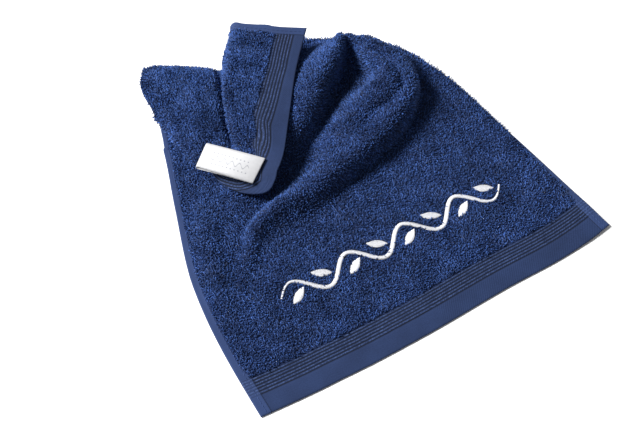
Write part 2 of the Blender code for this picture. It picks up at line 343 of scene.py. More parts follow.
def sheet_middle():
    """The cloth's middle surface in mm, as a grid of points: rows from the front hem, cells from the left hem. A
    smooth curve joins the rows of both tables. The standing folds rise over it in front of the turn: the height is
    the BLEND-th root of the sum of their heights to that power, and each fold's lean counts by its share of that
    sum. Then each point is mixed half and half with its neighbours, SOFTENING times."""
    rows, cells = [], []
    for _, count, left_x, right_x, row_y in LAID_ROWS:
        row_x = np.interp(ACROSS, (ACROSS[0], ACROSS[-1]), (left_x, right_x))
        rows.append(curve_through(np.stack([row_x, row_y, np.full(len(ACROSS), REST)], -1), CELLS_ACROSS))
        cells.append(count)
    for i, (_, count, radius, points) in enumerate(TURNED_ROWS):
        row = curve_through(points, CELLS_ACROSS)
        if radius:
            following = curve_through(TURNED_ROWS[i + 1][3], CELLS_ACROSS)
            before, after = round_the_fold(rows[-1], row, following, radius)
            rows += [before, row, after]
            cells += [ROUND_CELLS, ROUND_CELLS, count]
        else:
            rows.append(row)
            cells.append(count)
    grid = curve_through(np.array(rows), cells[:-1])
    last_standing = len(LAID_ROWS) + 1
    fade = cells[last_standing - 1]
    lying = eased((sum(cells[:last_standing]) - np.arange(len(grid))) / fade)[:, None]
    heights, leans = [], []
    for tops in STANDING_FOLDS.values():
        height, lean = standing_fold(grid[..., 0], grid[..., 1], tops)
        heights.append(height * lying)
        leans.append(lean * lying)
    heights.append(np.maximum(grid[..., 2] - REST, 0))
    powers = np.array(heights) ** BLEND
    total = powers.sum(0)
    shares = powers / np.maximum(total, TINY)
    grid[..., 2] = REST + total ** (1 / BLEND)
    for axis in (0, 1):
        grid[..., axis] += sum(share * lean[axis] for share, lean in zip(shares, leans))
    for _ in range(SOFTENING):
        grid[1:-1] += (grid[:-2] - 2 * grid[1:-1] + grid[2:]) / 4
        grid[:, 1:-1] += (grid[:, :-2] - 2 * grid[:, 1:-1] + grid[:, 2:]) / 4
    return grid


def soft_creases(grid, creases):
    """How far creases lift or shift each point of a grid: for each, its own height or shift at the nearest place of
    its line times (1 - share²)², share being the distance from there over the crease's half width."""
    moved = 0
    for crease in creases.values():
        line = curve_through(crease, FOLD_LINE_CELLS)
        away = np.hypot(grid[..., 0, None] - line[:, 0], grid[..., 1, None] - line[:, 1])
        nearest = np.argmin(away, axis=-1)
        share = np.take_along_axis(away, nearest[..., None], -1)[..., 0] / line[nearest, -1]
        moved = moved + line[nearest, 2:-1] * np.clip(1 - share**2, 0, 1)[..., None] ** 2
    return moved


def distance_from_edges(grid):
    """How far each point of a grid is from its first and from its last row, measured along its column."""
    run = np.cumsum(np.linalg.norm(np.diff(grid, axis=0, prepend=grid[:1]), axis=-1), axis=0)
    return run, run[-1:] - run


def along_path(places, run, path):
    """Points of a path at the distances places along it, where run is how far along it each of its own lies."""
    return np.stack([np.interp(places, run, values) for values in path.T], -1)


def spaced_by_distance(grid, from_edges, cells_between):
    """The grid's rows moved along the cloth: they lie at the distances from_edges from its two ends, and evenly in
    between."""
    from_edges = np.array(from_edges)
    share = np.linspace(0, 1, cells_between + 1)[1:-1]
    columns = []
    for run, column in zip(distance_from_edges(grid)[0].T, grid.swapaxes(0, 1)):
        inner = from_edges[-1] + (run[-1] - 2 * from_edges[-1]) * share
        columns.append(along_path(np.concatenate([from_edges, inner, run[-1] - from_edges[::-1]]), run, column))
    return np.stack(columns, axis=1)


FINER = 4  # cells made of each of the solid's
fine = curve_through(sheet_middle(), FINER)
fine = curve_through(fine.swapaxes(0, 1), FINER).swapaxes(0, 1)
laid_cells = sum(row[1] for row in LAID_ROWS)
behind_cells, under_cells = [row[1] for row in TURNED_ROWS[:2]]
front = fine[: FINER * (laid_cells + behind_cells // 2)]
end = fine[FINER * (laid_cells + behind_cells + under_cells + ROUND_CELLS) :]
front[..., 2:] += soft_creases(front, FRONT_CREASES)
end[..., 2:] += soft_creases(end, END_CREASES)
front[..., :2] += soft_creases(front, FRONT_SHIFTS)
under = fine[FINER * laid_cells : FINER * (laid_cells + behind_cells + under_cells)]
under[..., :2] += soft_creases(under, UNDER_SHIFTS)
turning = fine[FINER * (laid_cells + behind_cells) :]  # the end's shifts grow up from under the turn
grown = eased(np.arange(len(turning)) / (FINER * (under_cells + ROUND_CELLS)))[:, None, None]
overhanging = np.clip((turning[..., 2:] - OVERHANGING[0]) / (OVERHANGING[1] - OVERHANGING[0]), 0, 1)
moved = soft_creases(turning, END_SHIFTS) + overhanging * soft_creases(turning, END_LEANS)
turning[..., :2] += grown * moved
front[..., 2] = np.maximum(front[..., 2], REST)

# Both borders are woven alike, from the hem inwards. The sheet's rows and columns lie close where they show.
BAND = 15.5  # the border's flat part
RIBS = 6
RIB_PITCH = 2.35
BORDER = BAND + RIBS * RIB_PITCH
RIM_ROUND = 1.2  # mm over which the cloth's thickness runs out into its folded edges
RIB_ROWS = 5  # of cells to each rib
CLOSE_ROWS = 60.0  # the far border runs slantwise over the rows up to here
MIDDLE_COLUMNS = 92  # cells between the columns near the side hems
MIDDLE_ROWS = 140
EDGE_END = 1.8  # the rows of the rounded edge end here
rounded_edge = [0, 0.12, 0.4, 0.8, 1.3]
border_rows = rounded_edge + list(np.arange(BORDER, EDGE_END, -RIB_PITCH / RIB_ROWS)[::-1])
border_rows += list(np.arange(BORDER + 1, CLOSE_ROWS))
hem_columns = rounded_edge + [2.4, 3.4, 4.4, 5.4, 6.2, 7.0, 7.8, 8.6, 9.4]
fine = spaced_by_distance(fine.swapaxes(0, 1), hem_columns, MIDDLE_COLUMNS).swapaxes(0, 1)
fine = spaced_by_distance(fine, border_rows, MIDDLE_ROWS)
from_front, from_far = distance_from_edges(fine)
from_left, from_right = [way.T for way in distance_from_edges(fine.swapaxes(0, 1))]
from_end = np.minimum(from_front, from_far)
from_side = np.minimum(from_left, from_right)

# The far border is partly rolled under: how much of it lies behind the rim that shows, by share of the width.
ROLLED_UNDER = (
    # share from left to right, rolled under in mm
    (0, 20), (0.36, 19), (0.415, 15), (0.45, 10), (0.49, 3.5), (0.6, 2), (0.72, 5), (0.85, 7.5), (1, 6.5),
)
rolled = np.interp(from_left / from_left[:, -1:], *np.transpose(ROLLED_UNDER))

# The cloth is drawn aslant at the far rim, and the border runs along that rim: near it the straight way counts.
RIM_ROWS = 80  # near the far rim
RIM_CELLS = 3  # made of each of the rim's, to measure to
SHORTEST_WAY = 0.5  # the straight way counts as this share of the way along the cloth, or more
far_rim = curve_through(fine[-1], RIM_CELLS)
near_rim = np.linalg.norm(fine[-RIM_ROWS:, :, None] - far_rim, axis=-1).min(-1)
from_rim = from_far.copy()
from_rim[-RIM_ROWS:] = np.maximum(near_rim, SHORTEST_WAY * from_far[-RIM_ROWS:])
in_border = np.minimum(from_front, from_rim + rolled)
on_border = in_border < BORDER + 0.1

HEM = 8.0  # how wide the turned-in side hems are
# How much of them shows, by distance from the front hem.
HEMS_SHOWN = (
    # from front, left, right, in mm
    (0, HEM, HEM), (28, HEM, 7.5), (40, 6, 4.5), (90, 6, 2), (120, 6, 0), (260, 5, 0), (300, 0, 0), (340, 0, 0),
    (350, 0, HEM), (480, 0, HEM),
)
hem_from, left_shown, right_shown = np.transpose(HEMS_SHOWN)
left_hem = np.interp(from_front, hem_from, left_shown)
right_hem = np.interp(from_front, hem_from, right_shown)
on_hem = (from_left < left_hem) | (from_right < right_hem)


def rounded_off(distance, reach, left):
    """The share of the thickness at a distance from an edge: it rises from the share left at the edge itself to 1 at
    reach, along a quarter of a circle."""
    return left + (1 - left) * np.sqrt(1 - (1 - np.clip(distance / reach, 0, 1)) ** 2)


TERRY_HALF = 0.85  # half the ground cloth's thickness under the pile, in mm
BAND_HALF = 0.75
HEM_HALF = 1.0  # where the cloth is turned in double
RIB_HALF = 0.9  # at a rib's crest
GROOVE_HALF = 0.35  # between ribs
RIB_FULLNESS = 0.7  # below 1 the ribs are broad and the grooves narrow
RIBS_LOST = 3  # how soon the ribs run together where the border rolls under slantwise
THROUGH_HEM = 0.3  # how much of the ribs shows on the turned-in side hem
HEM_GROOVE = 0.3
SEAM_BEFORE_RIBS = 1.0  # where the border hem is sewn down
SEAM_HALF = 0.5
SEAM_DEPTH = 0.2
RIM_LEFT = 0.15  # share of the thickness at the very edge
in_ribs = in_border > BAND
rib_wave = 0.5 - 0.5 * np.cos(2 * np.pi * np.clip(in_border - BAND, 0, BORDER - BAND) / RIB_PITCH)
dent = 1 - np.where(in_ribs, rib_wave**RIB_FULLNESS, 1)
ribs_shown = np.where(on_hem, np.where(from_front < from_far, THROUGH_HEM, 0), 1)
rolling = np.abs(np.gradient(rolled, axis=1) / np.gradient(from_left, axis=1))
dent = dent * ribs_shown * np.clip(1 - RIBS_LOST * rolling, 0, 1)
half = np.where(on_border, BAND_HALF, TERRY_HALF)
half = np.where(on_border & in_ribs, RIB_HALF - (RIB_HALF - GROOVE_HALF) * dent, half)
half = np.where(on_hem, HEM_HALF - HEM_GROOVE * dent, half)
half -= np.where(on_hem, 0, SEAM_DEPTH) * np.exp(-(((in_border - BAND + SEAM_BEFORE_RIBS) / SEAM_HALF) ** 2))
half *= rounded_off(np.minimum(from_end, from_side), RIM_ROUND, RIM_LEFT)


def surface_normals(grid):
    """Unit normals of a grid of points: across the towel times along it."""
    return unit(np.cross(np.gradient(grid, axis=1), np.gradient(grid, axis=0)))


def put_in_place(points):
    """Millimetres from the front hem's middle turned into metres from the middle of the towel's space."""
    return points * MM + np.array([0, -FRONT, 0])


def mesh_piece(name, points, faces, finishes):
    """A piece from an array of points, in mm, and one of four-cornered faces. It rides on the towel's only body."""
    mesh = bpy.data.meshes.new(name)
    mesh.vertices.add(len(points))
    mesh.vertices.foreach_set("co", put_in_place(points).astype(np.float32).ravel())
    mesh.loops.add(faces.size)
    mesh.loops.foreach_set("vertex_index", faces.astype(np.int32).ravel())
    mesh.polygons.add(len(faces))
    mesh.polygons.foreach_set("loop_start", np.arange(0, faces.size, 4, dtype=np.int32))
    mesh.update(calc_edges=True)
    mesh.shade_smooth()
    for finish in finishes:
        mesh.materials.append(finish)
    piece = in_scene(name, mesh)
    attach(piece, "root")
    return piece


def closed_sheet(name, grid, half_thickness, finishes):
    """A closed sheet: a grid's points moved to both sides by half_thickness, and the rim joined."""
    offset = surface_normals(grid) * half_thickness[..., None]
    rows, columns = grid.shape[:2]
    index = np.arange(rows * columns).reshape(rows, columns)
    top = np.stack([index[:-1, :-1], index[:-1, 1:], index[1:, 1:], index[1:, :-1]], -1).reshape(-1, 4)
    rim = np.concatenate([index[0, :-1], index[:-1, -1], index[-1, :0:-1], index[:0:-1, 0]])
    under = rows * columns
    wall = np.stack([rim, rim + under, np.roll(rim, -1) + under, np.roll(rim, -1)], -1)
    points = np.concatenate([(grid + offset).reshape(-1, 3), (grid - offset).reshape(-1, 3)])
    return mesh_piece(name, points, np.concatenate([top, top[:, ::-1] + under, wall]), finishes)


def add_uv(piece, name, along_u, along_v):
    """A UV map on a closed sheet's two faces, from u and v at each point of its grid."""
    per_point = np.tile(np.stack([along_u, along_v], -1).reshape(-1, 2), (2, 1))
    corner = np.empty(len(piece.data.loops), np.int32)
    piece.data.loops.foreach_get("vertex_index", corner)
    layer = piece.data.uv_layers.new(name=name)
    layer.uv.foreach_set("vector", per_point[corner].astype(np.float32).ravel())


def add_values(piece, name, per_point):
    """A named value for each of the piece's points, for its material to read."""
    layer = piece.data.attributes.new(name, "FLOAT", "POINT")
    layer.data.foreach_set("value", per_point.astype(np.float32))


def node(tree, kind, inputs=None, **settings):
    """One shader node with its settings and its inputs, each a value or the socket that feeds it."""
    made = tree.nodes.new("ShaderNode" + kind)
    for key, value in settings.items():
        setattr(made, key, value)
    for key, value in (inputs or {}).items():
        if isinstance(value, bpy.types.NodeSocket):
            tree.links.new(value, made.inputs[key])
        else:
            made.inputs[key].default_value = value
    return made


def new_group(name, inputs, outputs):
    """An empty shader node group with named inputs, each with its kind and default, and named outputs."""
    group = bpy.data.node_groups.new(name, "ShaderNodeTree")
    for label, (kind, value) in inputs.items():
        group.interface.new_socket(label, in_out="INPUT", socket_type="NodeSocket" + kind).default_value = value
    for label, kind in outputs.items():
        group.interface.new_socket(label, in_out="OUTPUT", socket_type="NodeSocket" + kind)
    return group, group.nodes.new("NodeGroupInput").outputs, group.nodes.new("NodeGroupOutput").inputs


def mix_colours(share, low, high):
    """A colour between low, where the socket share gives 0, and high, where it gives 1."""
    return node(share.id_data, "Mix", {"Factor": share, "A": low, "B": high}, data_type="RGBA").outputs["Result"]


def maths(operation, *values):
    """One step of a sum, in the node tree of the sockets among its values."""
    tree = next(value.id_data for value in values if isinstance(value, bpy.types.NodeSocket))
    return node(tree, "Math", dict(enumerate(values)), operation=operation).outputs[0]


# Between the ribs of a border the cloth dips into a narrow groove, painted dark as the shade in it. The cloth's own
# map gives the distance from the hem as its second value; Groove is 1 at the middle of a groove and Crest 1 on the
# ribs' tops.
rib_grooves, given, result = new_group(
    "rib_grooves",
    {"Cloth Map": ("Vector", (0, 0, 0)), "Shown": ("Float", 1.0)},
    {"Groove": "Float", "Crest": "Float"},
)
hem_distance = node(rib_grooves, "SeparateXYZ", {"Vector": given["Cloth Map"]}).outputs["Y"]
turns = maths("MULTIPLY", maths("SUBTRACT", hem_distance, BAND), 2 * np.pi / RIB_PITCH)
wave = maths("MULTIPLY_ADD", maths("COSINE", turns), 0.5, 0.5)
groove = maths("POWER", wave, 1.1)
past_band = maths("GREATER_THAN", hem_distance, BAND - RIB_PITCH / 4)
before_terry = maths("LESS_THAN", hem_distance, BORDER + RIB_PITCH / 4)
inside = maths("MULTIPLY", past_band, before_terry)
# painted shade in the grooves, where the ribs show
painted_shade = maths("MULTIPLY", maths("MULTIPLY", groove, inside), given["Shown"])
rib_grooves.links.new(painted_shade, result["Groove"])
crest = maths("MULTIPLY", maths("SUBTRACT", 1.0, groove), inside)
rib_grooves.links.new(crest, result["Crest"])

# Dye takes unevenly: every yarn is a little lighter or darker, and larger patches drift with the light and wash.
navy, light_navy = (0.02, 0.04, 0.14, 1), (0.06, 0.1, 0.3, 1)
dyed_yarn, given, result = new_group(
    "dyed_yarn",
    {"Shade": ("Color", navy), "Light": ("Color", light_navy), "Yarn Scale": ("Float", 900.0)},
    {"Color": "Color"},
)
place = node(dyed_yarn, "TexCoord").outputs["Object"]
yarns = node(dyed_yarn, "TexNoise", {"Vector": place, "Scale": given["Yarn Scale"], "Detail": 2.0})
patches = node(dyed_yarn, "TexNoise", {"Vector": place, "Scale": 45.0, "Detail": 3.0})
both = maths("ADD", yarns.outputs[0], patches.outputs[0])
spread = node(dyed_yarn, "MapRange", {"Value": both, "From Min": 0.65, "From Max": 1.35}).outputs[0]
mixed = mix_colours(spread, given["Shade"], given["Light"])
dyed_yarn.links.new(mixed, result["Color"])

# Spun cotton is uneven along its fibres: Height is a fine noise fixed to the piece.
fibres, given, result = new_group(
    "fibres", {"Scale": ("Float", 900.0), "Detail": ("Float", 1.0)}, {"Height": "Float"}
)
place = node(fibres, "TexCoord").outputs["Object"]
noise = node(fibres, "TexNoise", {"Vector": place, "Scale": given["Scale"], "Detail": given["Detail"]})
fibres.links.new(noise.outputs[0], result["Height"])


def cotton(name, roughness, sheen):
    """A cotton material: dull, with a soft bluish sheen on its fluff."""
    fluff = {"Sheen Weight": sheen, "Sheen Roughness": 0.5, "Sheen Tint": (0.55, 0.65, 1.0, 1)}
    return new_finish(name, {"Roughness": roughness, "Specular IOR Level": 0.2, **fluff})


def yarn_colour(tree, shade, light, yarn_scale):
    """The dyed yarn group in a material, with its own colours."""
    own = {"Shade": (*shade, 1), "Light": (*light, 1), "Yarn Scale": yarn_scale}
    return node(tree, "Group", own, node_tree=dyed_yarn).outputs["Color"]


def fibre_height(tree, scale, detail):
    """The fibres group in a material, with its own scale."""
    return node(tree, "Group", {"Scale": scale, "Detail": detail}, node_tree=fibres).outputs["Height"]


def surface(shader, colour, height, strength, depth):
    """The shader's colour, and its normals tilted as if a pattern's height, from 0 to 1, stood up by depth."""
    tree = shader.id_data
    bump = node(tree, "Bump", {"Height": height, "Strength": strength, "Distance": depth})
    tree.links.new(bump.outputs["Normal"], shader.inputs["Normal"])
    tree.links.new(colour, shader.inputs["Base Color"])


# The ground cloth is painted much darker than the loops' yarn, as the shade down among the loops.
terry_ground, tree, shader = cotton("navy_terry_ground", 0.95, 0.1)
yarn = yarn_colour(tree, (0.004, 0.01, 0.04), (0.014, 0.032, 0.11), 500.0)
place = node(tree, "TexCoord").outputs["Object"]
knots = node(tree, "TexVoronoi", {"Vector": place, "Scale": 650.0}).outputs["Distance"]
surface(shader, yarn, knots, 0.8, 1 * MM)

# The borders are woven flat in fine twill: slanting lines half a millimetre apart, read from the cloth's own map.
border_weave, tree, shader = cotton("navy_border_weave", 0.8, 0.1)
cloth_map = node(tree, "UVMap", uv_map="cloth").outputs["UV"]
shown = node(tree, "Attribute", attribute_name="ribs_shown").outputs["Fac"]
ribs = node(tree, "Group", {"Cloth Map": cloth_map, "Shown": shown}, node_tree=rib_grooves)
yarn = yarn_colour(tree, (0.0086, 0.0185, 0.057), (0.0158, 0.032, 0.094), 1100.0)
# The side hems are double and are painted a little lighter, as the light they catch. The ribs' tops get painted
# highlights on their knots, and painted shade darkens the grooves and the step down at the hem's inner edge.
side_distance = node(tree, "SeparateXYZ", {"Vector": cloth_map}).outputs["X"]
# painted highlight on the side hems
painted_hem_light = maths("MULTIPLY", maths("LESS_THAN", side_distance, HEM), 0.3)
yarn = mix_colours(painted_hem_light, yarn, (0.04, 0.072, 0.2, 1))
# painted highlights on the ribs' tops
knots = {"Value": fibre_height(tree, 900.0, 1.0), "From Min": 0.42, "From Max": 0.68, "To Max": 0.7}
painted_crest_light = maths("MULTIPLY", ribs.outputs["Crest"], node(tree, "MapRange", knots).outputs[0])
yarn = mix_colours(painted_crest_light, yarn, (0.06, 0.1, 0.24, 1))
# painted shade down the step at the hem's inner edge, joined with the grooves' painted shade
painted_step_shade = maths("MULTIPLY", maths("COMPARE", side_distance, HEM + 0.25, 0.3), 0.6)
painted_shade = maths("MAXIMUM", ribs.outputs["Groove"], painted_step_shade)
yarn = mix_colours(painted_shade, yarn, (0.001, 0.003, 0.011, 1))
lines = {"Vector": cloth_map, "Scale": 0.35, "Distortion": 0.4, "Detail Scale": 2.0}
twill = node(tree, "TexWave", lines, bands_direction="DIAGONAL").outputs["Fac"]
surface(shader, yarn, twill, 0.25, 0.4 * MM)

CLOTH_FLAT = (0.300, 0.450)  # what the cloth's middle measures across and, along the folds, from end to end
towel = closed_sheet("towel_sheet", fine, half, [terry_ground, border_weave])
add_uv(towel, "cloth", from_side, np.where(on_hem & (from_far < from_front), 0, in_border))
add_values(towel, "ribs_shown", np.tile(ribs_shown.ravel(), 2))
no_pile = on_border | on_hem
flat_woven = (no_pile[:-1, :-1] & no_pile[1:, 1:]).ravel()
on_rim = np.ones(2 * sum(fine.shape[:2]) - 4)
finish_of_face = np.concatenate([flat_woven, flat_woven, on_rim]).astype(np.int32)
towel.data.polygons.foreach_set("material_index", finish_of_face)
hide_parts("towel_cloth")


# ----------------------------- stitched ornament
# A running wave with a leaf in each bend is embroidered in white thread across the front panel. Every stroke is
# satin stitch: threads laid close together from edge to edge over a padding, so that they arch up and press the
# pile down.
WAVE_START = -91.0  # x of the ornament's left end, in mm
WAVE_LINE = 72.0  # y of the line it swings about
WAVE_LENGTH = 192.0
WAVE_TURNS = 4
WAVE_SWING = 9.0
WAVE_STROKE = 1.5  # half the stroke's width
WAVE_TAPER = 0.125  # share of its length over which the stroke runs out at each end
WAVE_TIP = 0.25  # share of its width left there
WAVE_FULLNESS = 0.7  # below 1 the stroke stays broad for longer
LEAF_LENGTH = 15.0
LEAF_STROKE = 2.9
LEAF_TIP = 0.08
LEAF_FULLNESS = 0.8
LEAF_SLANT = np.radians(32)
LEAF_OFFSET = 4.0  # from the line to a leaf's middle
THREAD_SLANT = 0.25  # how far the threads lean along their stroke
THREAD_STEP = 0.5
THREAD = 0.3  # radius
THREAD_BASE = 0.35  # the threads' ends lie this far above the ground cloth, on pressed pile
PADDING = 0.9  # how far the threads arch up


def strands(paths, side, radius, sides):
    """Thin tubes along many short paths at once. paths is (strand, ring, 3), side a unit vector square to each
    path's plane and radius one value, or one for each ring; a ring's points go round the path at even angles."""
    ahead = unit(np.gradient(paths, axis=1))
    side = np.broadcast_to(side[:, None, :], paths.shape)
    out = np.cross(side, ahead)
    angle = 2 * np.pi * np.arange(sides) / sides
    ring = np.cos(angle)[:, None] * out[:, :, None] + np.sin(angle)[:, None] * side[:, :, None]
    count, rings = paths.shape[:2]
    points = paths[:, :, None] + np.broadcast_to(radius, rings)[:, None, None] * ring
    index = np.arange(count * rings * sides).reshape(count, rings, sides)
    nearer, further = index[:, :-1], index[:, 1:]
    faces = np.stack([nearer, np.roll(nearer, -1, -1), np.roll(further, -1, -1), further], -1)
    return points.reshape(-1, 3), faces.reshape(-1, 4)


def even_run(path, step):
    """Points a step apart along a path in the plane, and how far along it each lies, from 0 to 1."""
    run = np.concatenate([[0], np.cumsum(np.hypot(*np.diff(path, axis=0).T))])
    places = np.linspace(0, run[-1], int(run[-1] / step) + 1)
    return along_path(places, run, path), places / run[-1]


def satin_stitches(spine, half_width):
    """Threads across a stroke, from one edge to the other and a little aslant. Each arches up by the padding times
    the root of 1 - reach², its reach being -1 and 1 at the edges."""
    ahead = unit(np.gradient(spine, axis=0))
    across = np.stack([-ahead[:, 1], ahead[:, 0]], -1) + THREAD_SLANT * ahead
    reach = np.array([-1, -0.65, 0, 0.65, 1])
    flat = spine[:, None] + reach[:, None] * half_width[:, None, None] * across[:, None]
    height = REST + TERRY_HALF + THREAD_BASE + PADDING * np.sqrt(1 - reach**2) * np.ones(len(spine))[:, None]
    side = np.concatenate([ahead, np.zeros((len(ahead), 1))], -1)
    return np.concatenate([flat, height[..., None]], -1), side


STROKE_POINTS = 400  # along the wave, and a tenth as many along a leaf
turn = np.linspace(0, 2 * np.pi * WAVE_TURNS, STROKE_POINTS)
wave_x = WAVE_START + WAVE_LENGTH * turn / turn[-1]
wave_spine, along = even_run(np.stack([wave_x, WAVE_LINE + WAVE_SWING * np.sin(turn)], -1), THREAD_STEP)
from_tip = np.minimum(along, 1 - along) / WAVE_TAPER
strokes = [(wave_spine, WAVE_STROKE * np.clip(from_tip, WAVE_TIP, 1) ** WAVE_FULLNESS)]
for bend in range(2 * WAVE_TURNS):
    upward = 1 - 2 * (bend % 2)
    middle_x = WAVE_START + WAVE_LENGTH * (bend + 0.5) / (2 * WAVE_TURNS)
    reach = np.linspace(-0.5, 0.5, STROKE_POINTS // 10)[:, None] * LEAF_LENGTH
    heading = np.array([np.cos(LEAF_SLANT), upward * np.sin(LEAF_SLANT)])
    leaf, along = even_run(np.array([middle_x, WAVE_LINE - LEAF_OFFSET * upward]) + reach * heading, THREAD_STEP)
    strokes.append((leaf, LEAF_STROKE * (LEAF_TIP + np.sin(np.pi * along) ** LEAF_FULLNESS)))
stroke_spine, stroke_reach = [np.concatenate([part[::2] for part in parts]) for parts in zip(*strokes)]
paths, sides = [np.concatenate(parts) for parts in zip(*(satin_stitches(*stroke) for stroke in strokes))]

white_thread, tree, shader = cotton("white_embroidery_thread", 0.45, 0.2)
slubs = fibre_height(tree, 700.0, 2.0)
white = mix_colours(slubs, (0.68, 0.68, 0.71, 1), (0.86, 0.86, 0.87, 1))
surface(shader, white, slubs, 0.3, 0.2 * MM)
ornament = mesh_piece("stitched_ornament", *strands(paths, sides, THREAD, 3), [white_thread])


# ------------------------------------ terry pile
# Every pile yarn stands up from the ground cloth in a small loop, woven in rows, and leans where the last wash left
# it. Loops are made on the faces that show: the upper one up to where the cloth turns over, then the other.
LOOP_SPACING = 1.4
OUT_OF_LINE = 0.35  # share of the spacing by which a loop may stand off its place
LOOP_HEIGHT = (1.3, 2.5)
LOOP_WIDTH = (1.1, 1.9)
LOOP_YARN = 0.4  # radius at the top
LOOP_RADII = LOOP_YARN * np.array([0.8, 1, 0.8])  # at a foot, the top and the other foot
LOOP_TILT = 0.35  # how much loops lean apart
BASE_DEPTH = 0.1  # the loops' base lies this deep in the ground cloth, and their feet reach
FEET_DEPTH = 0.2  # this much deeper
# The loops' feet are painted dark as the shade down in the pile, and their tops show a random share of the yarn's
# colour.
TIP_SHADES = (0.25, 1.0)  # how much of the yarn's colour the tops show; the feet are in the dark
NAP_WAVES = np.geomspace(10, 50, 9)  # lengths, in mm
NAP_LEAN = (0.05, 0.15)
STROKE_MARGIN = 0.2  # between the ornament's strokes and the loops beside them
ABOVE_TABLE = 0.3
LOOK_FROM = 0.3  # how far over a loop's base the search for another layer of cloth starts
LOOK_FOR = 1.2  # and how far it goes, in heights of the lowest loop
rng = np.random.default_rng(11)


def woven_places(along_share, across_share, start, end):
    """Where loops stand between two places along the towel, as rows and columns of the grid with fractions: they
    are LOOP_SPACING apart on the flat cloth, every other row set over by half a step, each a little out of line."""
    rows = int((end - start) * CLOTH_FLAT[1] / MM / LOOP_SPACING)
    columns = int(CLOTH_FLAT[0] / MM / LOOP_SPACING)
    row, column = np.meshgrid(np.arange(rows), np.arange(columns), indexing="ij")
    down = (row + 0.5 + rng.uniform(-OUT_OF_LINE, OUT_OF_LINE, row.shape)) / rows
    over = (column + 0.25 + 0.5 * (row % 2) + rng.uniform(-OUT_OF_LINE, OUT_OF_LINE, row.shape)) / columns
    row = np.interp(start + (end - start) * down.ravel(), along_share, np.arange(len(along_share)))
    return row, np.interp(over.ravel(), across_share, np.arange(len(across_share)))


def in_cells(values, row, column):
    """Values of a grid at rows and columns with fractions, mixed from the four corners of their cells."""
    row, column = [np.clip(place, 0, last - 1.001) for place, last in zip((row, column), values.shape)]
    down, over = (row % 1)[:, None], (column % 1)[:, None]
    row, column = row.astype(int), column.astype(int)
    front = values[row, column] * (1 - over) + values[row, column + 1] * over
    back = values[row + 1, column] * (1 - over) + values[row + 1, column + 1] * over
    return front * (1 - down) + back * down


def nap(from_left, from_front):
    """The way the pile was brushed, as a lean to two sides: the sum of a few sine waves that cross the cloth."""
    lean = np.zeros((*from_left.shape, 2))
    for length in NAP_WAVES:
        heading = rng.uniform(0, 2 * np.pi)
        phase = rng.uniform(0, 2 * np.pi, 2)
        wave = 2 * np.pi / length * (np.cos(heading) * from_left + np.sin(heading) * from_front)
        lean += np.sin(wave[..., None] + phase) * rng.uniform(*NAP_LEAN)
    return lean


def pile_loops(base, normal, brushed):
    """The loops' paths and sides: a foot, the loop's top and the other foot, the top leaning as it was brushed."""
    count = len(base)
    turn = rng.uniform(0, 2 * np.pi, (count, 1))
    square = unit(np.cross(normal, [0.3, 0.2, 0.93]))
    other = np.cross(normal, square)
    foot = np.cos(turn) * square + np.sin(turn) * other
    side = np.cross(foot, normal)
    height = rng.uniform(*LOOP_HEIGHT, (count, 1))
    half_width = rng.uniform(*LOOP_WIDTH, (count, 1)) / 2
    lean = brushed + rng.normal(0, LOOP_TILT, (count, 2))
    top = base + height * (normal + lean[:, :1] * square + lean[:, 1:] * other)
    path = np.stack([base - foot * half_width, top, base + foot * half_width], axis=1)
    return path - normal[:, None] * FEET_DEPTH, side


loop_yarn, tree, shader = cotton("navy_loop_yarn", 0.9, 0.12)
yarn = yarn_colour(tree, (0.029, 0.081, 0.275), (0.093, 0.218, 0.69), 480.0)
painted_loop_shading = node(tree, "Attribute", attribute_name="painted_loop_shading").outputs["Fac"]
# painted shade: each loop runs from near black at its feet to its yarn's colour at its top
yarn = mix_colours(painted_loop_shading, (0.002, 0.006, 0.022, 1), yarn)
surface(shader, yarn, fibre_height(tree, 2500.0, 1.0), 0.5, 0.3 * MM)

sheet_points = np.empty(len(towel.data.vertices) * 3, np.float32)
towel.data.vertices.foreach_get("co", sheet_points)
sheet_faces = [tuple(face.vertices) for face in towel.data.polygons]
sheet_tree = BVHTree.FromPolygons(sheet_points.reshape(-1, 3).tolist(), sheet_faces)


def clear_of_cloth(base, normal):
    """Whether a loop has room: its top is above the table and no other layer of cloth lies on it."""
    start = put_in_place(base + normal * LOOK_FROM)
    above = start[:, 2] + normal[:, 2] * LOOP_HEIGHT[0] * MM > ABOVE_TABLE * MM
    reach = LOOP_HEIGHT[0] * LOOK_FOR * MM
    free = [sheet_tree.ray_cast(Vector(p), Vector(n), reach)[0] is None for p, n in zip(start, normal)]
    return above & np.array(free)


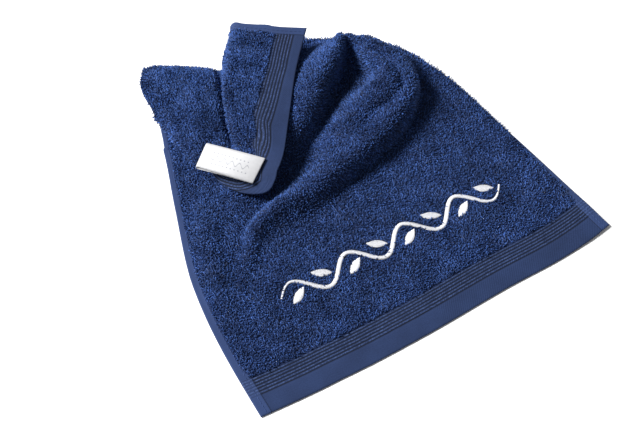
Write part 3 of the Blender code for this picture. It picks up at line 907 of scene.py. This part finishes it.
normals = surface_normals(fine)
along_share = (from_front / from_front[-1]).mean(axis=1)
across_share = (from_left / from_left[:, -1:]).mean(axis=0)
loop_ground = np.concatenate([fine, ~no_pile[..., None], nap(from_left, from_front)], axis=-1)
PILE_PARTS = {
    # name: face, where it starts and ends along the towel
    "pile_front_panel": (1, 0.06, 0.27),
    "pile_before_folds": (1, 0.27, 0.40),
    "pile_folds": (1, 0.40, 0.53),
    "pile_behind_folds": (1, 0.53, 0.74),
    "pile_turned_over": (-1, 0.62, 0.82),
    "pile_far_end": (-1, 0.82, 1.0),
}
for name, (face, start, end) in PILE_PARTS.items():
    spot = woven_places(along_share, across_share, start, end)
    base, terry, lean = np.split(in_cells(loop_ground, *spot), (3, 4), axis=-1)
    normal = unit(in_cells(normals * face, *spot))
    base = base + normal * (TERRY_HALF - BASE_DEPTH)
    kept = clear_of_cloth(base, normal) & (terry[:, 0] > 0.5)
    if name == "pile_front_panel":  # no loops stand under the ornament's strokes
        away = np.hypot(base[:, None, 0] - stroke_spine[:, 0], base[:, None, 1] - stroke_spine[:, 1])
        kept &= (away > stroke_reach + STROKE_MARGIN).all(axis=1)
    paths, side = pile_loops(base[kept], normal[kept], lean[kept])
    clear = paths[..., 2].min(axis=1) > LOOP_YARN  # of the table
    part = mesh_piece(name, *strands(paths[clear], side[clear], LOOP_RADII, 3), [loop_yarn])
    # painted shading along each loop: dark at both feet, and at the top a random share of the yarn's colour
    tips = np.outer(rng.uniform(*TIP_SHADES, clear.sum()), [0, 1, 0])
    add_values(part, "painted_loop_shading", np.repeat(tips.ravel(), 3))


# --------------------------------- hem stitching
# The side hems are sewn down near their inner edge with twisted navy thread, one line of lockstitch on each side.
# Each stitch lies on the cloth and dips into it at both ends.
STITCH = 2.7  # length, in mm
STITCH_STEP = 3.5
SEAM_FROM_SIDE = 4.9
SEWING_THREAD = 0.24  # radius
thread, tree, shader = cotton("navy_sewing_thread", 0.6, 0.1)
yarn = yarn_colour(tree, (0.014, 0.03, 0.1), (0.035, 0.07, 0.2), 1500.0)
place = node(tree, "TexCoord").outputs["Object"]
twist = node(tree, "TexWave", {"Vector": place, "Scale": 900.0}).outputs["Fac"]
surface(shader, yarn, twist, 0.4, 0.2 * MM)

seam_column = np.interp(SEAM_FROM_SIDE, hem_columns, np.arange(len(hem_columns)))
hem_ground = np.concatenate([fine, normals, half[..., None]], axis=-1)
along_stitch = STITCH * np.array([0, 0.25, 0.75, 1])
arch = np.array([-0.1, 0.22, 0.22, -0.1])  # how high the thread lies above the cloth there
seam_paths, seam_sides = [], []
right_column = fine.shape[1] - 1 - seam_column
HEM_SEAMS = ((1, left_hem, seam_column), (1, right_hem, right_column), (-1, right_hem, right_column))
for face, shown, column in HEM_SEAMS:
    run = from_front[:, int(column)]
    starts = np.arange(RIM_ROUND, run[-1] - STITCH, STITCH_STEP)
    starts = starts[(starts < run[-1] / 2) == (face > 0)]
    starts = starts[np.interp(starts, run, shown[:, int(column)]) > SEAM_FROM_SIDE + 0.5]
    places = np.interp(starts[:, None] + along_stitch, run, np.arange(len(run)))
    seam = in_cells(hem_ground, places.ravel(), np.full(places.size, column))
    lifted = seam[:, 6] + np.tile(arch, len(starts))
    path = (seam[:, :3] + face * lifted[:, None] * seam[:, 3:6]).reshape(-1, 4, 3)
    seam_paths.append(path)
    seam_sides.append(unit(np.cross(path[:, -1] - path[:, 0], seam[::4, 3:6])))
seams = strands(np.concatenate(seam_paths), np.concatenate(seam_sides), SEWING_THREAD, 4)
stitching = mesh_piece("hem_stitching", *seams, [thread])


# ------------------------------------ loop label
# A white satin ribbon folded double, its two cut ends sewn together into the far hem. It stands off the towel as an
# open loop and carries a plain woven ornament in grey: a wavy line with a dot in each bend.
LABEL_CORNERS = {
    # in mm: at its seam in the far hem and at its turn, nearer to and farther from the front
    "seam, near": (-63.5, 160.5, 19.2),
    "seam, far": (-47, 169.5, 28.9),
    "turn, near": (-91.5, 194, 21),
    "turn, far": (-76, 205, 27),
}
LABEL_HALF = 0.3  # half the ribbon's thickness, in mm
LABEL_INSIDE = 2.0  # clear space between the loop's two layers at its turn
LABEL_BOW = 2.0
LABEL_SKEW = 1.4  # how far the lower layer's turned end lies past the upper one's near edge
SEAM_ROUND = 0.18  # share of the label's length over which its upper layer rounds down into the seam
SEAM_LIFT = 0.3  # clear space at the seam
SELVEDGE = 0.4  # over which the ribbon thins towards its woven edge
SELVEDGE_LEFT = 0.4  # share of its thickness left there
LAYER_ROWS = 41
TURN_ROWS = 15
LABEL_COLUMNS = 13
PARTING = 1.3  # above 1 the rows lie closer near the seam
LAYER_ROOM = 0.02
WAVE_PITCH = 6.0
WAVES = 5
LABEL_SWING = 1.7
LINE_HALF = 0.42
DOT = 0.3**0.5  # radius
DOTS_OUT = 4.3  # from the line
ORNAMENT_MIDDLE = 10.0  # from the ribbon's near edge
ORNAMENT_CENTRE = 72.0  # from the ribbon's first cut end
ORNAMENT_DEPTH = 0.75  # how much of the grey shows


def label_middle():
    """The ribbon's middle surface: from the seam along its lower layer, round its turn and back to the seam. The
    profile is two layers that part towards the turn and half a circle between them, bowed up by a sine."""
    near, far, turn_near, turn_far = (np.array(corner, float) for corner in LABEL_CORNERS.values())
    turn_radius = LABEL_INSIDE / 2 + LABEL_HALF
    length = np.linalg.norm(turn_near + turn_far - near - far) / 2
    layer = np.linspace(0, 1, LAYER_ROWS) ** PARTING
    layer_height = LABEL_HALF + SEAM_LIFT + (turn_radius - LABEL_HALF - SEAM_LIFT) * layer
    rounding = rounded_off(layer, SEAM_ROUND, 0)
    upper_height = layer_height * (2 * rounding - 1) + 2 * (LABEL_HALF + LAYER_ROOM) * (1 - rounding)
    around = np.radians(np.linspace(-90, 90, TURN_ROWS))[1:-1]
    along = np.concatenate([layer, 1 + turn_radius * np.cos(around) / length, layer[::-1]])
    height = np.concatenate([-layer_height, turn_radius * np.sin(around), upper_height[::-1]])
    skew = LABEL_SKEW * np.clip(along, 0, 1) * (0.5 - 0.5 * np.clip(height / turn_radius, -1, 1))
    height += LABEL_BOW * np.sin(np.pi * np.clip(along, 0, 1))
    along, height, skew = along[:, None, None], height[:, None, None], skew[:, None, None]
    across = np.linspace(0, 1, LABEL_COLUMNS)[None, :, None]
    upward = unit(np.cross(turn_near - near, near - far))
    near_edge = near + (turn_near - near) * along
    far_edge = far + (turn_far - far) * along
    return near_edge + (far_edge - near_edge) * across + upward * height + unit(near - far) * skew


glossy = {"Roughness": 0.38, "Sheen Weight": 0.2, "Specular IOR Level": 0.4}
satin, tree, shader = new_finish("white_satin_ribbon", glossy)
label_map = node(tree, "UVMap", uv_map="ribbon").outputs["UV"]
wefts = node(tree, "TexWave", {"Vector": label_map, "Scale": 0.8, "Distortion": 0.3}).outputs["Fac"]
slubs = node(tree, "TexNoise", {"Vector": label_map, "Scale": 0.35, "Detail": 3.0}).outputs[0]
white = mix_colours(slubs, (0.44, 0.44, 0.46, 1), (0.53, 0.53, 0.54, 1))
# The ornament runs along the upper layer.
map_axes = node(tree, "SeparateXYZ", {"Vector": label_map})
down, over = map_axes.outputs["X"], maths("SUBTRACT", map_axes.outputs["Y"], ORNAMENT_MIDDLE)
wave = maths("SINE", maths("MULTIPLY", down, 2 * np.pi / WAVE_PITCH))
line = maths("COMPARE", over, maths("MULTIPLY", wave, LABEL_SWING), LINE_HALF)
beside = maths("SUBTRACT", maths("MODULO", down, WAVE_PITCH / 2), WAVE_PITCH / 4)
beyond = maths("SUBTRACT", maths("ABSOLUTE", over), DOTS_OUT)
away = maths("ADD", maths("POWER", beside, 2.0), maths("POWER", beyond, 2.0))
woven = maths("MAXIMUM", line, maths("LESS_THAN", away, DOT**2))
extent = maths("COMPARE", down, ORNAMENT_CENTRE, WAVE_PITCH * WAVES / 2)
woven = maths("MULTIPLY", maths("MULTIPLY", woven, extent), ORNAMENT_DEPTH)
surface(shader, mix_colours(woven, white, (0.2, 0.21, 0.24, 1)), wefts, 0.25, 0.2 * MM)

ribbon = label_middle()
ribbon_along, _ = distance_from_edges(ribbon)
ribbon_across, ribbon_left = [way.T for way in distance_from_edges(ribbon.swapaxes(0, 1))]
ribbon_half = LABEL_HALF * rounded_off(np.minimum(ribbon_across, ribbon_left), SELVEDGE, SELVEDGE_LEFT)
label = closed_sheet("label_ribbon", ribbon, ribbon_half, [satin])
add_uv(label, "ribbon", ribbon_along, ribbon_across)
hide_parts("loop_label")
